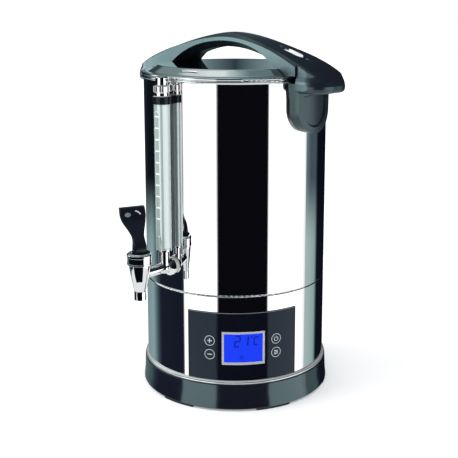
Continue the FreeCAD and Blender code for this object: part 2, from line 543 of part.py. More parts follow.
# ---------------------------------------------------------------- lid
LZ = 397.2
lid = lathe(prof((0, LID_TOP), (PLATEAU_R - 2.0, LID_TOP), ("arc", (PLATEAU_R - 0.4, LID_TOP - 0.4), (PLATEAU_R + 0.8, LID_TOP - 1.3)), (104.6, 398.5),
                 ("arc", (106.1, 397.6), (107.8, LZ)), (112.5, LZ), (112.5, LZ - LID_T), (107.6, LZ - LID_T), ("arc", (105.7, 396.9), (104.1, 397.8)),
                 (PLATEAU_R + 0.3, 403.1), ("arc", (PLATEAU_R - 0.8, 403.9), (PLATEAU_R - 2.2, LID_TOP - LID_T)), (0, LID_TOP - LID_T)))
LB_R = 1.9
lid = fuse(lid, Part.makeTorus(113.85, LB_R, V(0, 0, LZ - LB_R), V(0, 0, 1)))
slot = fuse(box(98.2, 100.8, -10.5, 10.5, 390, 410), cyl(1.3, 20, (99.5, -10.5, 390)), cyl(1.3, 20, (99.5, 10.5, 390)))
lid = lid.cut(turn(slot, VENT_AZ))
for x, y in SCREW_XY:
    lid = lid.cut(cyl(2.0, 10, (x, y, 400)))
save("lid", lid)
gask = lathe(prof((107.9, LZ - LID_T), (111.9, LZ - LID_T), (111.9, LZ - 1.9), (112.0, 389.5), (111.4, 387.0), (110.2, 386.2), (109.6, 387.0), (109.9, 394.2), (107.9, 394.6)))
save("lid_gasket", gask)

# ---------------------------------------------------------------- tap
tz = PIPE_Z
barrel = lathe(prof((0, SPOUT_BOT), (SPOUT_R - 0.5, SPOUT_BOT), ("arc", (SPOUT_R - 0.15, SPOUT_BOT + 0.15), (SPOUT_R, SPOUT_BOT + 0.5)), (SPOUT_R, SPOUT_TOP - 0.4), (SPOUT_R - 0.4, SPOUT_TOP),
                    ("spl", [(7.6, 155.4), (8.6, 160.0), (9.5, 164.0), (10.3, 168.0), (11.1, 172.0), (11.8, 176.0), (12.4, 180.0), (12.85, 184.2)]), (11.5, 184.2), (11.5, 188.3), (0, 188.3)), x=TAP_R)
pipe = cyl(6.2, TAP_R - 101.5, (101.5, 0, tz), (1, 0, 0))
flange = fuse(cyl(11.0, 2.4, (115.6, 0, tz), (1, 0, 0)), Part.makeCone(11.0, 7.2, 2.6, V(118.0, 0, tz), V(1, 0, 0)))
neck = fuse(cyl(6.5, 21.5, (TUBE_RAD, 0, tz - 1.5)), Part.makeSphere(7.3, V(TUBE_RAD, 0, tz)), cyl(9.2, 1.4, (TUBE_RAD, 0, TUBE_Z0 - 1.4)), cyl(6.9, 3.3, (TUBE_RAD, 0, TUBE_Z0 - 0.5)))
tap = fuse(barrel, pipe, flange, neck)
tap = cut(tap, cyl(4.2, TAP_R - 100, (99.5, 0, tz), (1, 0, 0)), cyl(4.2, 60, (TUBE_RAD, 0, tz)),
          cyl(SPOUT_BORE, 30, (TAP_R, 0, SPOUT_BOT - 5)),
          lathe(prof((0, SPOUT_BORE_TOP), (6.7, SPOUT_BORE_TOP), (6.9, 162.0), (7.8, 168.0), (9.2, 176.0), (9.6, 180.0), (9.6, 190.0), (0, 190.0)), x=TAP_R))
save("tap_body", turn(tap, TAP_AZ))
save("tap_outer_seal", turn(cyl(10.0, 4.0, (111.6, 0, tz), (1, 0, 0)).cut(cyl(6.25, 10, (108, 0, tz), (1, 0, 0))).cut(cyl(TANK_R + 0.02, 40, (0, 0, tz - 20))), TAP_AZ))
save("tap_inner_seal", turn(cyl(10.0, 4.5, (109.2, 0, tz), (1, 0, 0)).cut(cyl(6.25, 10, (106, 0, tz), (1, 0, 0))).common(cyl(TANK_RI - 0.02, 40, (0, 0, tz - 20))), TAP_AZ))
hexw = Part.makePolygon([V(103.6, 10.6 * math.cos(math.radians(60 * k)), tz + 10.6 * math.sin(math.radians(60 * k))) for k in range(7)])
nut = Part.Face(hexw).extrude(V(5.5, 0, 0)).cut(cyl(6.25, 20, (98, 0, tz), (1, 0, 0)))
save("tap_lock_nut", turn(nut, TAP_AZ))
bon = lathe(prof((11.6, BONNET_Z0), (14.4, BONNET_Z0), ("arc", (14.75, BONNET_Z0 + 0.15), (BONNET_R, BONNET_Z0 + 0.5)), (BONNET_R, 186.2), (14.5, 186.6), (14.5, 193.2), (BONNET_R, 193.6), (BONNET_R, 195.6), ("arc", (14.6, 196.4), (14.0, 196.9)),
                 (12.9, 197.8), (12.5, BONNET_Z1), (10.4, BONNET_Z1), (10.4, CAM_FLOOR), (2.36, CAM_FLOOR), (2.36, 188.5), (11.6, 188.5)), x=TAP_R)
save("tap_bonnet", turn(bon, TAP_AZ))



def twist(shape):
    """Turn about the tap's own axis."""
    t = shape.copy()
    t.rotate(V(TAP_R, 0, 0), V(0, 0, 1), LEVER_TWIST)
    return t


stem = fuse(cyl(2.3, PIVOT_Z + 1.6 - 164, (TAP_R, 0, 164.0)), Part.makeSphere(2.9, V(TAP_R, 0, PIVOT_Z)), cyl(5.2, 1.6, (TAP_R, 0, 168.2)))
stem = stem.cut(cyl(1.55, 20, (TAP_R, -10, PIVOT_Z), (0, 1, 0)))
save("valve_stem", turn(twist(stem), TAP_AZ))
seat = lathe(prof((0, 158.05), (5.7, 158.05), ("arc", (6.2, 158.3), (6.4, 159.0)), (6.4, 164.5), (5.6, 168.1), (2.35, 168.1), (2.35, 163.9), (0, 163.9)), x=TAP_R)
save("seat_cup", turn(seat, TAP_AZ))
save("lever_pin", turn(twist(cyl(1.5, 13.0, (TAP_R, -6.5, PIVOT_Z), (0, 1, 0))), TAP_AZ))

SP_R, SP_W, SP_Z0, SP_Z1, SP_N = 4.0, 0.55, 170.5, 187.6, 6
hx = Part.makeHelix((SP_Z1 - SP_Z0) / SP_N, SP_Z1 - SP_Z0, SP_R)
circ = Part.Wire([Part.Circle(V(SP_R, 0, 0), V(0, 1, 0), SP_W).toShape()])
spring = Part.Wire(hx.Edges).makePipeShell([circ], True, True)
spring.translate(V(TAP_R, 0, SP_Z0))
save("valve_spring", turn(spring, TAP_AZ))

# lever: a paddle over a heel whose underside is a cam that lifts the pin and stem as it tilts
SEC = [(199.4, 16.0, 11.0, 4.0, 0.0), (205.5, 16.0, 10.6, 4.0, 0.0), (210.0, 15.0, 9.0, 3.4, 1.0), (214.5, 14.5, 8.2, 3.1, 3.5), (219.0, 16.8, 7.6, 3.0, 7.2),
       (223.5, 20.9, 7.2, 2.8, 11.0), (231.5, 28.7, 6.8, 2.6, 17.8), (239.5, 31.5, 6.4, 2.5, 21.3), (LEVER_TOP, 31.0, 6.0, 2.4, 24.4)]
pad = Part.makeLoft([rrect_wire(w, t, r, z, TAP_R + d, 0) for z, w, t, r, d in SEC], True, False)
H0 = PIVOT_Z - CAM_FLOOR - 0.1
K = CAM_RISE / math.radians(LEVER_DEG)
ang = [math.radians(a) for a in range(0, int(LEVER_DEG) + 1, 5)]
cam = [(-6.2, 2.0), (-6.2, -H0 + 2.2), (-4.4, -H0)]
for a0, a1 in zip(ang, ang[1:]):                 # corners where neighbouring floor lines meet
    h0, h1 = H0 + K * a0, H0 + K * a1
    det = math.sin(a0) * -math.cos(a1) + math.cos(a0) * math.sin(a1)
    cam.append(((h0 * -math.cos(a1) + math.cos(a0) * h1) / det, (math.sin(a0) * h1 - math.sin(a1) * h0) / det))
a1, h1 = ang[-1], H0 + K * ang[-1]
cam.append((9.5, (math.sin(a1) * 9.5 - h1) / math.cos(a1)))
cam.append((9.5, 2.0))
heel = Part.Face(Part.makePolygon([V(TAP_R + u, -9.5, PIVOT_Z + z) for u, z in cam + cam[:1]])).extrude(V(0, 19.0, 0))
heel = heel.common(cyl(8.8, 40, (TAP_R, 0, 185))).common(box(TAP_R - 20, TAP_R + 20, -6.4, 6.4, 180, 220))
lev = fuse(pad, heel)
fork = [(-3.2, 3.8), (-3.2, -12.0), (10.6, -12.0), (3.8, 0.8), (3.5, 3.8)]
lev = lev.cut(Part.Face(Part.makePolygon([V(TAP_R + u, -3.1, PIVOT_Z + z) for u, z in fork + fork[:1]])).extrude(V(0, 6.2, 0)))
lev = lev.cut(cyl(1.505, 13.0, (TAP_R, -6.5, PIVOT_Z), (0, 1, 0)))
save("tap_lever", turn(twist(lev), TAP_AZ))

# ---------------------------------------------------------------- sight tube
save("sight_tube", turn(ring(TUBE_RO, TUBE_RI, TUBE_Z0, TUBE_Z1, TUBE_RAD), TAP_AZ))
save("sight_lower_seal", turn(ring(TUBE_RI, 6.9, TUBE_Z0 + 0.6, TUBE_Z0 + 2.7, TUBE_RAD), TAP_AZ))
col = fuse(cyl(10.5, 8.6, (TUBE_RAD, 0, 366.0)), box(112, TUBE_RAD, -7.0, 7.0, 366.0, 374.6)).cut(cyl(TANK_R + 0.03, 30, (0, 0, 355)))
col = cut(col, cyl(TUBE_RO + 0.02, 6.05, (TUBE_RAD, 0, 365.95)), cyl(7.66, 20, (TUBE_RAD, 0, 360)), cyl(1.55, 4.6, (112, 0, 370.3), (1, 0, 0)))
save("sight_upper_bracket", turn(col, TAP_AZ))
bs = fuse(cyl(3.6, 2.0, (109.2, 0, 370.3), (1, 0, 0)), cyl(1.5, 4.5, (111.0, 0, 370.3), (1, 0, 0)))
save("bracket_screw", turn(bs, TAP_AZ))
cap = lathe(prof((0, 372.2), (7.3, 372.2), (7.6, 372.6), (7.6, 375.2), (8.6, 375.2), (8.9, 375.6), (8.9, 378.6), (8.5, 379.0), (8.5, 379.4), (9.2, 379.6), (9.5, 380.2), (9.5, 386.2), (9.2, 386.8),
                 (8.0, 387.1), (7.35, 387.9), (7.1, 395.6), ("arc", (6.6, 397.0), (5.2, CAP_TOP)), (0, CAP_TOP)), x=TUBE_RAD)
grooves = [cyl(0.62, 7.6, (TUBE_RAD + 9.75 * math.cos(math.radians(15 * k)), 9.75 * math.sin(math.radians(15 * k)), 379.45)) for k in range(24)]
cap = cap.cut(Part.makeCompound(grooves))
save("sight_cap", turn(cap, TAP_AZ))
save("sight_cap_seal", turn(ring(8.9, 7.68, 374.62, 375.18, TUBE_RAD), TAP_AZ))

print(len(NODES), "nodes")
tot = Part.makeCompound(list(NODES.values())).BoundBox
print("box", [round(v, 1) for v in (tot.XMin, tot.XMax, tot.YMin, tot.YMax, tot.ZMin, tot.ZMax)])
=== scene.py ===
# Looks of the electric all-in-one brewer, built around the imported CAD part.  Metres throughout.
import bpy
import math
from mathutils import Vector, Matrix


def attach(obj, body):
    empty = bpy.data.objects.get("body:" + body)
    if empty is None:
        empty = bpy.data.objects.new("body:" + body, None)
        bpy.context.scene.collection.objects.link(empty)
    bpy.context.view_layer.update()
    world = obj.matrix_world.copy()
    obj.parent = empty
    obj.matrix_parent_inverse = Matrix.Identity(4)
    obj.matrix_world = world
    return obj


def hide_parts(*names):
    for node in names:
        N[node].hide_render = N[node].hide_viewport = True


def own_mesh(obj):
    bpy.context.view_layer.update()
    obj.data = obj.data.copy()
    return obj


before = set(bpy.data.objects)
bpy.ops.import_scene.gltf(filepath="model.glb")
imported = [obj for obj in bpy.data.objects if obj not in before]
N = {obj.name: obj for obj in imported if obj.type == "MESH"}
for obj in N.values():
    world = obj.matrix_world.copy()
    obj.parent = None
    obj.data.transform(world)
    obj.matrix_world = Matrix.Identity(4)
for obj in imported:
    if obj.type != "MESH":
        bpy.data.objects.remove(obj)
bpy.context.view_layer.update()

# ------------------------------------------------------------------ colour helpers


def lin(c):
    c = c / 255.0
    return c / 12.92 if c <= 0.04045 else ((c + 0.055) / 1.055) ** 2.4


def rgb(r, g, b):
    return (lin(r), lin(g), lin(b), 1.0)


def material(name, base, rough=0.3, metal=0.0, spec=0.5, tint=None, coat=0.0, coat_rough=0.05, ior=1.5, trans=0.0, emit=None, emit_s=0.0, alpha=1.0):
    m = bpy.data.materials.new(name)
    m.use_nodes = True
    b = m.node_tree.nodes["Principled BSDF"]
    b.inputs["Base Color"].default_value = tuple(base[:3]) + (1.0,)
    b.inputs["Roughness"].default_value = rough
    b.inputs["Metallic"].default_value = metal
    b.inputs["Specular IOR Level"].default_value = spec
    b.inputs["IOR"].default_value = ior
    b.inputs["Coat Weight"].default_value = coat
    b.inputs["Coat Roughness"].default_value = coat_rough
    b.inputs["Transmission Weight"].default_value = trans
    b.inputs["Alpha"].default_value = alpha
    if tint:
        b.inputs["Specular Tint"].default_value = tuple(tint) + (1.0,)
    if emit:
        b.inputs["Emission Color"].default_value = tuple(emit[:3]) + (1.0,)
        b.inputs["Emission Strength"].default_value = emit_s
    return m


def bump(m, scale, strength, dist=0.0002, detail=2.0):
    nt = m.node_tree
    b = nt.nodes["Principled BSDF"]
    tc = nt.nodes.new("ShaderNodeTexCoord")
    no = nt.nodes.new("ShaderNodeTexNoise")
    no.inputs["Scale"].default_value = scale
    no.inputs["Detail"].default_value = detail
    bp = nt.nodes.new("ShaderNodeBump")
    bp.inputs["Strength"].default_value = strength
    bp.inputs["Distance"].default_value = dist
    nt.links.new(tc.outputs["Object"], no.inputs["Vector"])
    nt.links.new(no.outputs["Fac"], bp.inputs["Height"])
    nt.links.new(bp.outputs["Normal"], b.inputs["Normal"])
    return m


TEAL = (0.66, 1.0, 1.03)
M = {}
M["mirror_steel"] = material("mirror_steel", (0.93, 0.935, 0.94), rough=0.035, metal=1.0)
M["chrome"] = material("chrome", (0.95, 0.95, 0.955), rough=0.03, metal=1.0)
M["black_satin"] = bump(material("black_satin", (0.0075, 0.0086, 0.0155), rough=0.30, spec=0.75, ior=1.6, tint=TEAL), 900, 0.05, 0.0001)
M["black_gloss"] = material("black_gloss", (0.0078, 0.0090, 0.0165), rough=0.11, spec=0.80, ior=1.6, tint=TEAL)
M["moulding_black"] = bump(material("moulding_black", (0.012, 0.012, 0.014), rough=0.55), 700, 0.1, 0.0002)
M["foot_rubber"] = material("foot_rubber", (0.010, 0.010, 0.011), rough=0.8)
M["screw_steel"] = material("screw_steel", (0.60, 0.60, 0.60), rough=0.28, metal=1.0)
M["panel_gloss"] = material("panel_gloss", (0.0036, 0.0042, 0.0085), rough=0.045, spec=0.24, tint=(0.72, 1.0, 1.25))
M["bezel_silver"] = material("bezel_silver", (0.66, 0.68, 0.74), rough=0.22, metal=0.45)
M["lcd_blue"] = material("lcd_blue", (0.002, 0.012, 0.22), rough=0.18, spec=0.3, emit=(0.006, 0.034, 0.70), emit_s=1.0)
M["module_grey"] = material("module_grey", (0.4, 0.4, 0.4), rough=0.5)
M["board_green"] = material("board_green", (0.02, 0.10, 0.045), rough=0.4)
M["lever_black"] = bump(material("lever_black", (0.0070, 0.0074, 0.0135), rough=0.20, spec=0.30, tint=TEAL), 700, 0.04, 0.0001)
M["button_black"] = material("button_black", (0.0062, 0.0072, 0.0135), rough=0.14, spec=0.25, tint=(0.72, 1.0, 1.25))
M["switch_black"] = material("switch_black", (0.012, 0.012, 0.012), rough=0.45)
M["brass"] = material("brass", (0.75, 0.55, 0.25), rough=0.25, metal=1.0)
M["plate_alu"] = material("plate_alu", (0.75, 0.75, 0.76), rough=0.4, metal=1.0)
M["element_steel"] = material("element_steel", (0.45, 0.45, 0.46), rough=0.4, metal=1.0)
M["wire_red"] = material("wire_red", (0.30, 0.02, 0.015), rough=0.45)
M["wire_brown"] = material("wire_brown", (0.09, 0.035, 0.015), rough=0.45)
M["transformer_yellow"] = material("transformer_yellow", (0.55, 0.42, 0.05), rough=0.5)
M["capacitor_blue"] = material("capacitor_blue", (0.02, 0.04, 0.15), rough=0.3)
M["silicone"] = material("silicone", (0.72, 0.74, 0.73), rough=0.45)
# painted light: this white plastic has a faint glow of its own (emission 0.08) to keep it bright
M["lock_white"] = material("lock_white", (0.90, 0.92, 0.93), rough=0.25, emit=(1, 1, 1), emit_s=0.08)
# white for the button icons, which are print, and for the painted highlight arc on the lever
M["mark_white"] = material("mark_white", (0.55, 0.60, 0.62), rough=0.5)
M["mark_grey"] = material("mark_grey", (0.16, 0.18, 0.21), rough=0.5)
# painted light: the white scale print has a faint glow of its own (emission 0.05)
M["scale_white"] = material("scale_white", (0.88, 0.90, 0.90), rough=0.5, emit=(1, 1, 1), emit_s=0.05)
M["scale_dark"] = material("scale_dark", (0.10, 0.13, 0.14), rough=0.5)
M["lcd_dark"] = material("lcd_dark", (0.001, 0.002, 0.06), rough=0.3, spec=0.05, emit=(0.003, 0.013, 0.27), emit_s=0.9)
# teal for the painted highlight oval on the lever
M["lever_highlight_teal"] = material("lever_highlight_teal", (0.13, 0.20, 0.20), rough=0.4)
M["scale_grey"] = material("scale_grey", (0.33, 0.41, 0.40), rough=0.3)
# pale colour for a painted highlight: a stripe laid on the sight tube where the softbox reflection falls
M["tube_painted_highlight"] = material("tube_painted_highlight", (0.70, 0.79, 0.78), rough=0.14, spec=0.6, coat=0.5, coat_rough=0.05)
M["trim_steel"] = material("trim_steel", (0.93, 0.95, 0.955), rough=0.12, metal=0.60)
M["trim_line"] = material("trim_line", (0.075, 0.085, 0.095), rough=0.4)
M["panel_edge"] = material("panel_edge", (0.15, 0.165, 0.18), rough=0.45)
M["lcd_pale"] = material("lcd_pale", (0.10, 0.20, 0.8), rough=0.3, emit=(0.05, 0.12, 1.0), emit_s=0.8)

CAM_AZ = math.radians(-48.0)
cvec = Vector((math.cos(CAM_AZ), math.sin(CAM_AZ), 0))
rvec = Vector((-math.sin(CAM_AZ), math.cos(CAM_AZ), 0))


class Graph:
    """Small helper over a node tree: sums, dot products, smooth steps and mixes."""

    def __init__(self, nt, vec=None):
        self.nt, self.vec = nt, vec

    def math(self, op, *args):
        n = self.nt.nodes.new("ShaderNodeMath")
        n.operation = op
        for i, v in enumerate(args):
            if isinstance(v, (int, float)):
                n.inputs[i].default_value = v
            else:
                self.nt.links.new(v, n.inputs[i])
        return n.outputs[0]

    def dot(self, v):
        n = self.nt.nodes.new("ShaderNodeVectorMath")
        n.operation = "DOT_PRODUCT"
        self.nt.links.new(self.vec, n.inputs[0])
        n.inputs[1].default_value = tuple(v)
        return n.outputs["Value"]

    def step(self, v, a, b_):
        n = self.nt.nodes.new("ShaderNodeMapRange")
        n.interpolation_type = "SMOOTHSTEP"
        self.nt.links.new(v, n.inputs["Value"])
        n.inputs["From Min"].default_value = a
        n.inputs["From Max"].default_value = b_
        return n.outputs["Result"]

    def mix(self, fac, a, b_):
        n = self.nt.nodes.new("ShaderNodeMix")
        n.data_type = "RGBA"
        self.nt.links.new(fac, n.inputs[0])
        for k, v in ((6, a), (7, b_)):
            if isinstance(v, tuple):
                n.inputs[k].default_value = v
            else:
                self.nt.links.new(v, n.inputs[k])
        return n.outputs[2]


# the tap's chrome, and the sight tube: milky clear plastic with a hard gloss that picks up the softboxes
M["chrome_tap"] = material("chrome_tap", (0.95, 0.95, 0.955), rough=0.03, metal=1.0)
M["clear_tube"] = material("clear_tube", (0.50, 0.60, 0.59), rough=0.10, metal=0.20, spec=1.0, ior=1.7, coat=1.0, coat_rough=0.06)
M["clear_tube"].node_tree.nodes["Principled BSDF"].inputs["Coat IOR"].default_value = 1.8

for name, o in N.items():
    s = o.data.materials[0].name.split(".")[0]
    o.data.materials[0] = M[{"tap_body": "chrome_tap", "tap_bonnet": "chrome_tap", "tap_lever": "lever_black", "sight_upper_bracket": "lever_black", "panel_frame": "panel_gloss", "trim_ring": "trim_steel"}.get(name, s)]

# ------------------------------------------------------------------ small builders


def mesh_obj(name, verts, faces, mat, body, smooth=False, node=None):
    me = bpy.data.meshes.new(name)
    me.from_pydata([tuple(v) for v in verts], [], faces)
    me.validate()
    if smooth:
        me.shade_smooth()
    o = bpy.data.objects.new(name, me)
    bpy.context.scene.collection.objects.link(o)
    o.data.materials.append(M[mat])
    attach(o, body)
    return o


def on_cyl(R, az, z, u, v):
    """Point on a cylinder of radius R: u metres to the right of azimuth az (degrees), height z + v."""
    a = math.radians(az) + u / R
    return Vector((R * math.cos(a), R * math.sin(a), z + v))


class Decals:
    """Flat printed shapes laid on a surface, gathered in one mesh per colour."""

    def __init__(self, place):
        self.place = place
        self.v, self.f = [], []

    def quad(self, x0, y0, x1, y1, n=1):
        for i in range(n):
            a, b_ = x0 + (x1 - x0) * i / n, x0 + (x1 - x0) * (i + 1) / n
            k = len(self.v)
            self.v += [self.place(a, y0), self.place(b_, y0), self.place(b_, y1), self.place(a, y1)]
            self.f.append((k, k + 1, k + 2, k + 3))

    def stroke(self, p, q, w):
        p, q = Vector(p), Vector(q)
        d = (q - p)
        d = d.normalized() if d.length > 0 else Vector((1, 0))
        n = Vector((-d.y, d.x)) * (w / 2)
        k = len(self.v)
        self.v += [self.place(*(p - n)), self.place(*(q - n)), self.place(*(q + n)), self.place(*(p + n))]
        self.f.append((k, k + 1, k + 2, k + 3))

    def ring(self, cx, cy, r, w, a0=0, a1=360, n=40):
        for i in range(n):
            t0, t1 = math.radians(a0 + (a1 - a0) * i / n), math.radians(a0 + (a1 - a0) * (i + 1) / n)
            k = len(self.v)
            for t, rr in ((t0, r - w / 2), (t0, r + w / 2), (t1, r + w / 2), (t1, r - w / 2)):
                self.v.append(self.place(cx + rr * math.cos(t), cy + rr * math.sin(t)))
            self.f.append((k, k + 1, k + 2, k + 3))

    def disc(self, cx, cy, r, n=24):
        k = len(self.v)
        for i in range(n):
            t = 2 * math.pi * i / n
            self.v.append(self.place(cx + r * math.cos(t), cy + r * math.sin(t)))
        self.f.append(tuple(range(k, k + n)))

    def poly(self, pts):
        k = len(self.v)
        self.v += [self.place(*p) for p in pts]
        self.f.append(tuple(range(k, k + len(pts))))

    def make(self, name, mat, body, slot):
        return mesh_obj(name, self.v, self.f, mat, body)


mm = 0.001
PANEL_AZ = -43.0

# ------------------------------------------------------------------ control panel print
LENS_R, BTN_R_ = 113.8 * mm, 113.95 * mm
for body, side, z, icon in (("plus", -1, 86.4, "+"), ("minus", -1, 69.4, "-"), ("power", 1, 86.4, "p"), ("set", 1, 69.4, "s")):
    az = PANEL_AZ + side * 20.4
    R = BTN_R_ + 0.06 * mm
    d = Decals(lambda u, v, R=R, az=az, z=z: on_cyl(R, az, z * mm, u, v))
    d.ring(0, 0, 5.95 * mm, 0.66 * mm, n=48)
    if icon == "+":
        d.quad(-2.9 * mm, -0.5 * mm, 2.9 * mm, 0.5 * mm)
        d.quad(-0.5 * mm, 0.5 * mm, 0.5 * mm, 2.9 * mm)
        d.quad(-0.5 * mm, -2.9 * mm, 0.5 * mm, -0.5 * mm)
    elif icon == "-":
        d.quad(-2.9 * mm, -0.5 * mm, 2.9 * mm, 0.5 * mm)
    elif icon == "p":
        d.ring(0, -0.2 * mm, 2.5 * mm, 0.7 * mm, a0=125, a1=415, n=30)
        d.quad(-0.35 * mm, 0.4 * mm, 0.35 * mm, 3.4 * mm)
    else:
        for k in (-1, 0, 1):
            d.quad(-2.7 * mm, (k * 1.9 - 0.35) * mm, 2.7 * mm, (k * 1.9 + 0.35) * mm)
            d.disc((1.2 if k == 0 else -1.2) * mm, k * 1.9 * mm, 0.85 * mm, n=16)
    d.make("icon_" + body, "mark_white", body, "lock_white")

edge = Decals(lambda u, v: on_cyl(114.06 * mm, PANEL_AZ, 121.6 * mm, u, v))
edge.quad(-68.3 * mm, -0.85 * mm, 68.3 * mm, -0.10 * mm, n=48)
edge.make("panel_top_edge", "panel_edge", "urn", "bezel_silver")

# fine shadow line round the bright ring at the tank's foot
rv, rf = [], []
PROF = ((115.93, 35.05), (115.70, 35.45), (115.52, 35.75))
for i in range(120):
    a_ = 2 * math.pi * i / 120
    rv += [(r_ * mm * math.cos(a_), r_ * mm * math.sin(a_), z_ * mm) for r_, z_ in PROF]
for i in range(120):
    j = (i + 1) % 120
    rf += [(3 * i + k, 3 * j + k, 3 * j + k + 1, 3 * i + k + 1) for k in (0, 1)]
mesh_obj("trim_ring_line", rv, rf, "trim_line", "urn")

# display: seven-segment reading 21 with a degree mark, and a small heating mark
WIN_R = 113.6 * mm + 0.30 * mm
SEG = {"0": "abcdef", "1": "bc", "2": "abged", "3": "abgcd", "4": "fgbc", "5": "afgcd", "6": "afgedc", "7": "abc", "8": "abcdefg", "9": "abcfgd", "C": "afed"}
dd = Decals(lambda u, v: on_cyl(WIN_R, PANEL_AZ, 78.0 * mm, u, v))


def digit(d, ch, x, y, w, h, t):
    sl = 0.10
    P = lambda a, c: (x + a * w + sl * (c * h), y + c * h)
    segs = {"a": ((0, 1), (1, 1)), "b": ((1, 1), (1, .5)), "c": ((1, .5), (1, 0)), "d": ((0, 0), (1, 0)), "e": ((0, .5), (0, 0)), "f": ((0, 1), (0, .5)), "g": ((0, .5), (1, .5))}
    for s in SEG[ch]:
        (a0, c0), (a1, c1) = segs[s]
        p, q = Vector(P(a0, c0)), Vector(P(a1, c1))
        e = (q - p).normalized() * (t * 0.22)
        d.stroke(p + e, q - e, t)


digit(dd, "2", -10.6 * mm, 2.0 * mm, 5.6 * mm, 13.0 * mm, 1.5 * mm)
digit(dd, "1", -1.8 * mm, 3.2 * mm, 6.6 * mm, 11.4 * mm, 1.7 * mm)
dd.ring(10.4 * mm, 14.0 * mm, 0.9 * mm, 0.6 * mm, n=20)
digit(dd, "C", 12.4 * mm, 4.0 * mm, 4.8 * mm, 9.4 * mm, 1.3 * mm)
dd.ring(-2.2 * mm, -11.4 * mm, 1.5 * mm, 0.9 * mm, a0=0, a1=180, n=14)
dd.quad(-4.4 * mm, -13.6 * mm, 0.0 * mm, -12.7 * mm)
dd.make("display_digits", "lcd_dark", "urn", "lcd_blue")

# ------------------------------------------------------------------ sight tube scale
SC_R = 9.58 * mm
AX = Vector((0, -125.3 * mm, 0))
SC_AZ = -84.0


def on_tube(R, az):
    def place(u, v):
        a = math.radians(az) + u / R
        return AX + Vector((R * math.cos(a), R * math.sin(a), v))
    return place


sc = Decals(on_tube(SC_R, SC_AZ))
tk = Decals(on_tube(SC_R + 0.03 * mm, SC_AZ))
TICK = [352.1 - 13.3 * k for k in range(10)]
sc.quad(-2.6 * mm, 212.0 * mm, 2.6 * mm, 356.5 * mm, n=6)
for z in TICK:
    tk.quad(-2.7 * mm, (z - 0.85) * mm, 2.7 * mm, (z + 0.85) * mm, n=6)
tk.quad(-3.1 * mm, 214.0 * mm, -2.7 * mm, 354 * mm)
tk.quad(2.7 * mm, 214.0 * mm, 3.1 * mm, 354 * mm)
tk.ring(0, 355.2 * mm, 2.7 * mm, 0.6 * mm, a0=0, a1=180, n=12)
tk.ring(0, 213.5 * mm, 2.7 * mm, 0.6 * mm, a0=180, a1=360, n=12)
# painted highlight: a pale band down the sight tube standing in for its softbox reflection
mb = Decals(on_tube(SC_R, -12.0))
mb.quad(-4.7 * mm, 197.0 * mm, 4.7 * mm, 365.5 * mm, n=14)
mb.make("sight_painted_highlight_band", "tube_painted_highlight", "urn", "lock_white")
sc.make("sight_scale", "scale_grey", "urn", "moulding_black")
tk.make("sight_scale_ticks", "scale_white", "urn", "lock_white")

# ------------------------------------------------------------------ lock marks on the arch
ARCH = [(0, 444.0), (20, 442.2), (40, 438.2), (60, 432.9), (80, 426.8), (100, 420.2), (116, 413.8), (128, 408.6)]


def arch_z(x):
    x = abs(x) * 1000
    for (a, za), (b_, zb) in zip(ARCH, ARCH[1:]):
        if a <= x <= b_:
            return (za + (zb - za) * (x - a) / (b_ - a)) * mm
    return ARCH[-1][1] * mm


lk = Decals(lambda u, v: Vector((u, v, arch_z(u) + 0.12 * mm)))
for cx, shut in ((73.4, False), (112.0, True)):
    c = cx * mm
    lk.quad(c - 1.4 * mm, -1.7 * mm, c + 0.6 * mm, 1.7 * mm)
    lk.ring(c + 0.6 * mm, 0.0 if shut else 0.9 * mm, 1.2 * mm, 0.45 * mm, a0=-90, a1=90 if shut else 60, n=12)
lk.make("lock_marks", "mark_grey", "lid", "lock_white")

# a copy of the valve spring with its own mesh, on the urn body, in place of the imported one
spring = bpy.data.objects.new("tap_spring", N["valve_spring"].data.copy())
bpy.context.scene.collection.objects.link(spring)
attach(spring, "urn")
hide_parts("valve_spring")
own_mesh(spring)

# two painted highlights near the lever's top: a teal oval and a white arc standing in for the glints on the lever
lever = N["tap_lever"]
inv = lever.matrix_world.inverted()
face_n = Vector((math.cos(math.radians(-22)), math.sin(math.radians(-22)), 0.25)).normalized()
wide = Vector((math.cos(math.radians(68)), math.sin(math.radians(68)), 0))


def on_lever(u, v):
    p0 = Vector((0, -0.164, 0)) + wide * u + Vector((0, 0, v)) + face_n * 0.06
    p0.z = v + 0.06 * face_n.z
    ok, loc, nor, _ = lever.ray_cast(inv @ p0, (inv.to_3x3() @ -face_n).normalized())
    if not ok:
        return p0 - face_n * 0.075
    return lever.matrix_world @ loc + face_n * 0.00012


oval_highlight = Decals(on_lever)
oval_highlight.poly([(-7.0 * mm + 3.75 * mm * math.cos(t_), 243.4 * mm + 2.75 * mm * math.sin(t_)) for t_ in [2 * math.pi * i / 18 for i in range(18)]])
oval_highlight.make("lever_painted_highlight_oval", "lever_highlight_teal", "lever", "lock_white")
arc_highlight = Decals(on_lever)
arc_highlight.ring(1.2 * mm, 239.4 * mm, 8.0 * mm, 1.5 * mm, a0=25, a1=80, n=12)
arc_highlight.make("lever_painted_highlight_arc", "mark_white", "lever", "lock_white")

# ------------------------------------------------------------------ stage, light, camera
bpy.ops.mesh.primitive_plane_add(size=12, location=(0, 0, 0))
floor = bpy.context.object
floor.name = "floor"
fm = material("floor_white", (0.97, 0.972, 0.975), rough=0.9, spec=0.0)
fm.node_tree.nodes["Principled BSDF"].inputs["Emission Color"].default_value = (0.97, 0.985, 1.0, 1)
fm.node_tree.nodes["Principled BSDF"].inputs["Emission Strength"].default_value = 0.22
floor.data.materials.append(fm)
floor.visible_glossy = False

